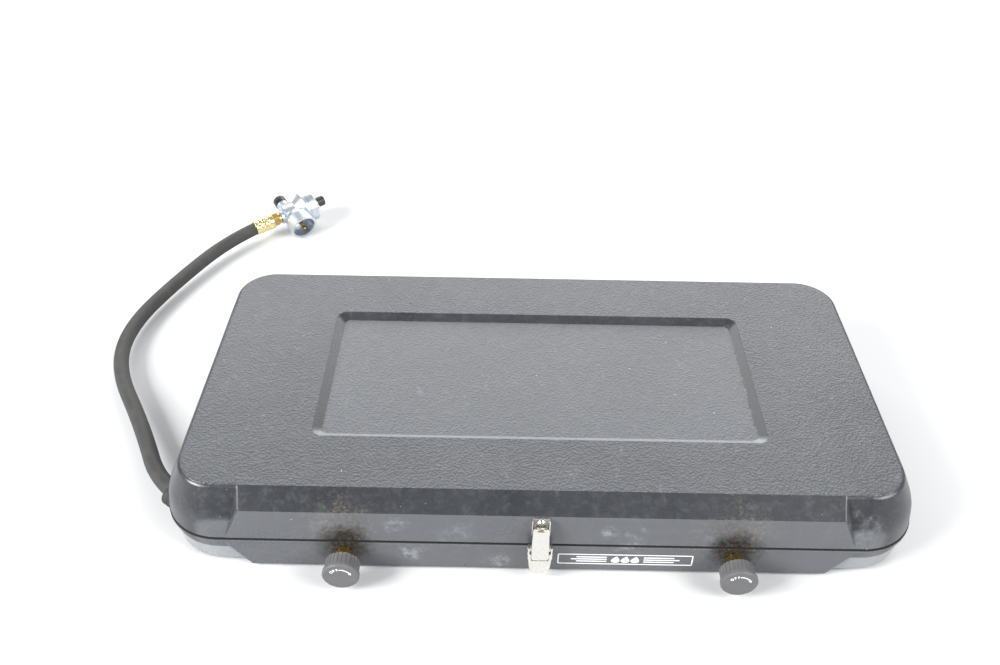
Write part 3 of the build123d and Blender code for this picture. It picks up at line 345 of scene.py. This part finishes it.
def pale_corners(paint, y, z):
    """The tray's lower wall is painted paler at its front corners."""
    low = paint.ramp(z, 0.0203, 0.0209, 1.0, 0.0)
    low = paint.times(low, paint.ramp(y, -0.1337, -0.1332))
    low = paint.times(low, paint.ramp(y, -0.110, -0.080, 1.0, 0.0))
    paint.over(paint.times(low, 0.42), PALE)


def recess_dust(paint, x, y, z):
    """Dust lying along the foot of the sunk panel's sides, thickest at the right."""
    across = paint.math("SUBTRACT", paint.math("ABSOLUTE", x), RECESS_FLOOR[0])
    offset = paint.math("ABSOLUTE", paint.math("SUBTRACT", y, RECESS_MID_Y))
    along = paint.math("SUBTRACT", offset, RECESS_FLOOR[1])
    line = paint.near(paint.math("MAXIMUM", across, along), 0.0, 0.0002, 0.0015)
    ragged = paint.ramp(paint.noise(0.0110, 6, 0.8), 0.47, 0.66)
    bias = paint.ramp(paint.math("SUBTRACT", x, y), 0.02, 0.21, 0.10, 1.0)
    return paint.times(paint.times(line, ragged), paint.times(bias, paint.ramp(z, 0.060, 0.063)))


def seam_dirt(paint, z):
    """Dust caught just above and below the gap between the lid and the tray."""
    line = paint.near(z, SEAM_Z, 0.0008, 0.0035)
    return paint.times(line, paint.ramp(paint.noise(0.0016, 4, 0.7), 0.52, 0.68))


SMUDGES = (
    ((-0.104, FRONT_Y, 0.050), 0.010, 0.40),
    ((-0.094, FRONT_Y, 0.022), 0.013, 0.55),
    ((-0.150, FRONT_Y, 0.044), 0.020, 0.16),
    ((-0.029, FRONT_Y, 0.013), 0.009, 0.60),
    ((-0.060, FRONT_Y, 0.040), 0.018, 0.22),
    ((0.050, FRONT_Y, 0.046), 0.009, 0.50),
    ((0.066, FRONT_Y, 0.038), 0.015, 0.42),
    ((0.118, FRONT_Y, 0.040), 0.016, 0.18),
    ((0.230, FRONT_Y, 0.050), 0.020, 0.22),
)


def rubber_paint(name, shade, roughness, dusty):
    paint = Paint(name, (shade, shade, shade), roughness, Specular_IOR_Level=0.4)
    film = paint.ramp(paint.noise(0.012, 5, 0.65, 0.6), 0.40, 0.75)
    paint.over(paint.times(film, dusty), (0.24, 0.22, 0.18))
    scuff = paint.ramp(paint.noise(0.0016, 4, 0.7), 0.58, 0.74)
    paint.over(paint.times(scuff, 0.10), DUST)
    paint.roughen(film, 0.85)
    paint.bump(paint.noise(0.0009, 3, 0.6), 0.00005)
    paint.bump(paint.noise(0.008, 2, 0.5), 0.00008, 0.5)
    return paint.done()


def plastic_paint(name, shade, roughness):
    paint = Paint(name, (shade, shade, shade * 1.03), roughness, IOR=1.48)
    film = paint.ramp(paint.noise(0.006, 5, 0.65), 0.42, 0.75)
    paint.over(paint.times(film, 0.12), DUST)
    grime = paint.ramp(paint.noise(0.0022, 4, 0.7), 0.60, 0.75)
    paint.over(paint.times(grime, 0.12), TAN)
    paint.roughen(film, 0.62)
    paint.bump(paint.noise(0.0005, 2, 0.5), 0.00002)
    return paint.done()


def metal_paint(name, color, roughness, stain, stained, grain=(1.0, 1.0, 1.0), depth=0.00002):
    """A bare or plated metal with a stain in patches, fine scratches and a grain."""
    paint = Paint(name, color, roughness, 1.0)
    patches = paint.ramp(paint.noise(0.007, 5, 0.65, 0.5), 0.45, 0.72)
    paint.over(paint.times(patches, stained), stain)
    fine = paint.noise(0.0012, 4, 0.7, place=paint.stretched(*grain))
    paint.over(paint.times(paint.ramp(fine, 0.55, 0.72), stained * 0.6), stain)
    paint.roughen(patches, min(1.0, roughness + 0.22))
    paint.bump(fine, depth)
    paint.bump(paint.noise(0.010, 2, 0.5), 0.00006, 0.4)
    return paint.done()


def cast_paint(name):
    """Die-cast zinc: satin blue-grey with a skin, scuffs and darker flow marks."""
    paint = Paint(name, (0.60, 0.64, 0.69), 0.36, 0.9)
    flow = paint.ramp(paint.noise(0.010, 4, 0.6, 1.5), 0.45, 0.70)
    paint.over(paint.times(flow, 0.45), (0.36, 0.40, 0.46))
    scuff = paint.ramp(paint.noise(0.0018, 5, 0.75), 0.56, 0.72)
    paint.over(paint.times(scuff, 0.35), (0.80, 0.82, 0.84))
    paint.roughen(flow, 0.52)
    paint.bump(paint.noise(0.0011, 3, 0.6), 0.00005)
    paint.bump(paint.noise(0.006, 3, 0.5), 0.00012, 0.5)
    return paint.done()


def print_paint(name):
    paint = Paint(name, (0.86, 0.87, 0.88), 0.45)
    worn = paint.ramp(paint.noise(0.0012, 4, 0.7), 0.60, 0.72)
    paint.over(paint.times(worn, 0.35), (0.35, 0.35, 0.36))
    paint.bump(paint.noise(0.0006, 2, 0.5), 0.00001)
    return paint.done()


PAINTS = {
    "lid": enamel("black_enamel_lid", True),
    "black_enamel": enamel("black_enamel_case", False),
    "rubber": rubber_paint("soft_black_rubber", 0.030, 0.60, 0.10),
    "hose_rubber": rubber_paint("hose_black_rubber", 0.040, 0.60, 0.16),
    "brass": metal_paint("yellow_brass", (0.62, 0.43, 0.17), 0.28, (0.24, 0.16, 0.07), 0.5),
    "pale_brass": metal_paint("pale_brass", (0.83, 0.71, 0.36), 0.26, (0.46, 0.34, 0.13), 0.45),
    "nickel": metal_paint("nickel_plate", (0.80, 0.78, 0.73), 0.24, (0.52, 0.48, 0.40), 0.25),
    "pivot_steel": metal_paint("bright_steel", (0.62, 0.61, 0.59), 0.32, (0.28, 0.25, 0.21), 0.4),
    "burner_steel": metal_paint("burner_steel", (0.40, 0.38, 0.36), 0.42, (0.16, 0.11, 0.08), 0.7),
    "pan_steel": metal_paint(
        "pan_steel", (0.56, 0.56, 0.57), 0.34, (0.22, 0.18, 0.13), 0.55, (0.3, 4.0, 1.0)
    ),
    "grate_wire": metal_paint("grate_wire", (0.55, 0.55, 0.55), 0.30, (0.20, 0.15, 0.10), 0.5),
    "zinc": cast_paint("cast_zinc"),
    "knob_plastic": plastic_paint("knob_plastic", 0.120, 0.46),
    "cap_plastic": plastic_paint("cap_plastic", 0.030, 0.40),
    "sooty_brass": metal_paint("sooty_brass", (0.40, 0.27, 0.09), 0.38, (0.04, 0.03, 0.02), 0.85),
    "glossy_cap": plastic_paint("glossy_cap", 0.012, 0.12),
    "print": print_paint("white_print"),
}
FINISHES = {
    "lid_shell": "lid",
    "port_cap": "glossy_cap",
    "packing_nuts": "sooty_brass",
}


def paint_nodes():
    """Every CAD node gets the paint of its record slot, or the finish named for it."""
    for name, node in nodes.items():
        slots = node.material_slots
        paint = PAINTS[FINISHES.get(name, slots[0].material.name.split(".")[0])]
        for material_slot in slots:
            material_slot.material = paint


paint_nodes()
hose.data.materials.append(PAINTS["hose_rubber"])


# ---- pieces --------------------------------------------------------------------
def add_piece(name, mesh, paint, body):
    piece = bpy.data.objects.new(name, mesh)
    bpy.context.collection.objects.link(piece)
    mesh.materials.append(PAINTS[paint])
    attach(piece, body)
    return piece


def from_bmesh(name, shape):
    mesh = bpy.data.meshes.new(name)
    bmesh.ops.recalc_face_normals(shape, faces=shape.faces)
    shape.to_mesh(mesh)
    shape.free()
    return mesh


def axis_frame(origin, along):
    """A matrix whose Z runs along a direction from origin."""
    z = Vector(along).normalized()
    x = z.cross(Vector((0, 0, 1))).normalized()
    y = z.cross(x)
    turn = Matrix((x, y, z)).transposed().to_4x4()
    return Matrix.Translation(origin) @ turn


def lathe(profile, steps, place, radius_at=None):
    """A closed ring of revolution through the (radius, height) points, in turn round a loop."""
    shape = bmesh.new()
    rings = []
    for radius, height in profile:
        ring = []
        for i in range(steps):
            angle = 2 * math.pi * i / steps
            r = radius_at(radius, height, angle) if radius_at else radius
            point = Vector((r * math.cos(angle), r * math.sin(angle), height))
            ring.append(shape.verts.new(place @ point))
        rings.append(ring)
    for a, b in zip(rings, rings[1:] + rings[:1]):
        for i in range(steps):
            j = (i + 1) % steps
            shape.faces.new((a[i], a[j], b[j], b[i]))
    return shape


def flat_piece(name, outlines, place, thickness):
    """A thin printed layer from closed outlines; an outline inside another is a hole."""
    curve = bpy.data.curves.new(name, "CURVE")
    curve.dimensions = "2D"
    curve.fill_mode = "BOTH"
    curve.extrude = thickness / 2
    for outline in outlines:
        spline = curve.splines.new("POLY")
        spline.points.add(len(outline) - 1)
        for point, (x, y) in zip(spline.points, outline):
            point.co = (x, y, 0, 1)
        spline.use_cyclic_u = True
    return curve_to_mesh(name, curve, place)


def curve_to_mesh(name, curve, place):
    holder = bpy.data.objects.new(name + "_outline", curve)
    bpy.context.collection.objects.link(holder)
    shown = holder.evaluated_get(bpy.context.evaluated_depsgraph_get())
    mesh = bpy.data.meshes.new_from_object(shown)
    mesh.name = name
    mesh.transform(place)
    bpy.data.objects.remove(holder)
    shape = bmesh.new()
    shape.from_mesh(mesh)
    bmesh.ops.remove_doubles(shape, verts=shape.verts, dist=1e-7)
    shape.to_mesh(mesh)
    shape.free()
    mesh.materials.clear()
    return mesh


# ---- crimped ferrule ------------------------------------------------------------
FERRULE_START = Vector((-0.3002, 0.2969, 0.0169))
FERRULE_ALONG = Vector((0.80594, 0.58555, 0.08716))
FERRULE_LENGTH = 0.021
FERRULE_RADIUS = 0.0080
FERRULE_LEVELS = 84  # rings of the mesh along the sleeve
FERRULE_SLACK = 0.00004
FERRULE_END_WALL = 0.0012
FERRULE_HOLE = 0.0032  # in the end, for the fitting's tail
CRIMP_ROWS = (0.0046, 0.0098, 0.0150)
CRIMP_JAWS = 8
CRIMP_DEPTH = 0.00075
CRIMP_HALF = 0.0017


def crimped(radius, height, angle):
    """The sleeve's radius with three rows of jaw dents pressed into it."""
    if radius < FERRULE_RADIUS - 0.0006:
        return radius
    depth = 0.0
    for k, row in enumerate(CRIMP_ROWS):
        span = max(0.0, 1 - ((height - row) / CRIMP_HALF) ** 2)
        jaw = 0.62 + 0.38 * math.cos(CRIMP_JAWS * angle + k * math.pi)
        depth = max(depth, CRIMP_DEPTH * math.sqrt(span) * jaw)
    return radius - depth


def make_ferrule():
    outer = [
        (FERRULE_RADIUS, FERRULE_LENGTH * (0.02 + 0.96 * i / FERRULE_LEVELS))
        for i in range(FERRULE_LEVELS + 1)
    ]
    bore = HOSE_RADIUS + FERRULE_SLACK
    tail = FERRULE_LENGTH - FERRULE_END_WALL
    profile = [(bore, 0.0), (FERRULE_RADIUS - 0.0004, 0.0), *outer]
    profile += [(FERRULE_RADIUS - 0.0005, FERRULE_LENGTH), (FERRULE_HOLE, FERRULE_LENGTH)]
    profile += [(FERRULE_HOLE, tail), (bore, tail)]
    place = axis_frame(FERRULE_START, FERRULE_ALONG)
    shape = lathe(profile, 96, place, crimped)
    mesh = from_bmesh("crimped_ferrule", shape)
    for face in mesh.polygons:
        face.use_smooth = True
    ferrule = add_piece("crimped_ferrule", mesh, "pale_brass", "case")
    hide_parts("hose_ferrule")
    return ferrule


ferrule = make_ferrule()


# ---- label on the apron -----------------------------------------------------------
LABEL_LOW = (0.0135, 0.0100)
LABEL_HIGH = (0.1130, 0.0215)
LABEL_EDGE = 0.0009
LABEL_ROUND = 0.0012
FLAME_SIZE = 0.0072  # height, and the step from one flame to the next
STRIPE_NEAR, STRIPE_FAR = 0.0135, 0.0400  # from the label's middle
STRIPE_SHORTER = 0.004  # the outer rows
STRIPE_STEP, STRIPE_HALF, STRIPE_ROUND = 0.0024, 0.00055, 0.0004
PRINT_THICK = 0.00016
PRINT_GAP = 0.00002
FRONT_PANEL_Y = -0.1340


def box_outline(low, high, radius, steps=6):
    corners = (
        (high[0] - radius, high[1] - radius, 0),
        (low[0] + radius, high[1] - radius, 90),
        (low[0] + radius, low[1] + radius, 180),
        (high[0] - radius, low[1] + radius, 270),
    )
    points = []
    for x, y, start in corners:
        for i in range(steps + 1):
            angle = math.radians(start + 90 * i / steps)
            points.append((x + radius * math.cos(angle), y + radius * math.sin(angle)))
    return points


def flame_outline(x, y, size, steps=20):
    """A plain flame: a drop with its tip drawn over to one side."""
    points = []
    for i in range(2 * steps):
        angle = math.pi * i / steps
        up = (1 - math.cos(angle)) / 2
        wide = math.sin(angle) * (1 - up) ** 0.7
        points.append((x + size * (0.62 * wide + 0.16 * up**3), y + size * up))
    return points


def make_label():
    inner_low = (LABEL_LOW[0] + LABEL_EDGE, LABEL_LOW[1] + LABEL_EDGE)
    inner_high = (LABEL_HIGH[0] - LABEL_EDGE, LABEL_HIGH[1] - LABEL_EDGE)
    outlines = [
        box_outline(LABEL_LOW, LABEL_HIGH, LABEL_ROUND),
        box_outline(inner_low, inner_high, LABEL_ROUND / 2),
    ]
    mid_x = (LABEL_LOW[0] + LABEL_HIGH[0]) / 2
    mid_z = (LABEL_LOW[1] + LABEL_HIGH[1]) / 2
    for shift in (-FLAME_SIZE, 0.0, FLAME_SIZE):
        outlines.append(flame_outline(mid_x + shift, mid_z - FLAME_SIZE / 2, FLAME_SIZE))
    for side in (-1, 1):
        for row in (-1, 0, 1):
            near = mid_x + side * STRIPE_NEAR
            far = mid_x + side * (STRIPE_FAR - STRIPE_SHORTER * abs(row))
            z = mid_z + row * STRIPE_STEP
            low = (min(near, far), z - STRIPE_HALF)
            high = (max(near, far), z + STRIPE_HALF)
            outlines.append(box_outline(low, high, STRIPE_ROUND, 4))
    face_y = FRONT_PANEL_Y - PRINT_THICK / 2 - PRINT_GAP
    place = Matrix.Translation((0, face_y, 0)) @ Matrix.Rotation(math.radians(90), 4, "X")
    mesh = flat_piece("label_print", outlines, place, PRINT_THICK)
    return add_piece("label_print", mesh, "print", "case")


make_label()


# ---- knob marks ---------------------------------------------------------------------
MARK_RADIUS = 0.0081
MARK_STROKE = 0.00085
LETTER_SIZE = 0.0031
LETTER_ANGLES = (48.0, 30.0, 13.0)  # to the left of straight up
ARROW_FROM, ARROW_TO = 4.0, -58.0  # the arc, in the same degrees
ARROW_HEAD = 15.0


def around(angle, radius):
    """A point on the knob's face, at degrees to the left of straight up."""
    turn = math.radians(90 + angle)
    return radius * math.cos(turn), radius * math.sin(turn)


def arrow_outline():
    steps = 16
    sweep = [ARROW_FROM + (ARROW_TO - ARROW_FROM) * i / steps for i in range(steps + 1)]
    outer = [around(a, MARK_RADIUS + MARK_STROKE / 2) for a in sweep]
    inner = [around(a, MARK_RADIUS - MARK_STROKE / 2) for a in reversed(sweep)]
    head = [
        around(ARROW_TO, MARK_RADIUS + 1.5 * MARK_STROKE),
        around(ARROW_TO - ARROW_HEAD, MARK_RADIUS),
        around(ARROW_TO, MARK_RADIUS - 1.5 * MARK_STROKE),
    ]
    return outer + head + inner


def letter_mesh(letter, angle, face):
    text = bpy.data.curves.new("letter", "FONT")
    text.body = letter
    text.size = LETTER_SIZE
    text.align_x = "CENTER"
    text.align_y = "CENTER"
    text.extrude = PRINT_THICK / 2
    text.offset = 0.00010
    text.resolution_u = 6
    x, y = around(angle, MARK_RADIUS)
    place = face @ Matrix.Translation((x, y, 0)) @ Matrix.Rotation(math.radians(angle), 4, "Z")
    return curve_to_mesh("letter", text, place)


def make_knob_marks(knob_node, body):
    low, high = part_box(knob_node)
    centre = (low[0] + high[0]) / 2, (low[2] + high[2]) / 2
    face_y = low[1] - PRINT_THICK / 2 - PRINT_GAP
    at = Matrix.Translation((centre[0], face_y, centre[1]))
    face = at @ Matrix.Rotation(math.radians(90), 4, "X")
    shape = bmesh.new()
    shape.from_mesh(flat_piece("arrow", [arrow_outline()], face, PRINT_THICK))
    for letter, angle in zip("OFF", LETTER_ANGLES):
        shape.from_mesh(letter_mesh(letter, angle, face))
    mesh = from_bmesh(knob_node + "_marks", shape)
    return add_piece(knob_node + "_marks", mesh, "print", body)


make_knob_marks("knob_left", "left_knob")
make_knob_marks("knob_right", "right_knob")


# ---- floor and light ------------------------------------------------------------------
def make_floor():
    shape = bmesh.new()
    bmesh.ops.create_grid(shape, x_segments=2, y_segments=2, size=6)
    floor = bpy.data.objects.new("floor", from_bmesh("floor", shape))
    bpy.context.collection.objects.link(floor)
    paint = Paint("white_floor", (0.66, 0.664, 0.668), 0.8, Specular_IOR_Level=0.2)
    floor.data.materials.append(paint.done())


def make_light(name, place, aim, size, radiance):
    """A soft box: radiance is the brightness of its face."""
    data = bpy.data.lights.new(name, "AREA")
    data.shape = "RECTANGLE"
    data.size, data.size_y = size
    data.energy = radiance * math.pi * size[0] * size[1]
    light = bpy.data.objects.new(name, data)
    light.location = place
    light.rotation_mode = "QUATERNION"
    light.rotation_quaternion = (Vector(aim) - Vector(place)).to_track_quat("-Z", "Y")
    light.visible_camera = False
    bpy.context.collection.objects.link(light)


def make_world():
    world = bpy.data.worlds.new("studio")
    world.use_nodes = True
    background = world.node_tree.nodes["Background"]
    background.inputs["Color"].default_value = (0.94, 0.96, 1.0, 1)
    background.inputs["Strength"].default_value = 0.34
    bpy.context.scene.world = world


make_floor()
make_world()
make_light("key_left", (-1.9, -1.0, 1.35), (-0.1, 0, 0), (1.0, 1.0), 30.0)
make_light("fill_right", (1.9, -1.0, 1.5), (0.1, 0, 0), (1.3, 1.3), 13.0)
make_light("back_wall", (0, 2.3, 1.3), (0, 0, 0.1), (3.8, 2.0), 3.6)
bpy.context.scene.view_settings.view_transform = "Standard"

bpy.context.view_layer.update()
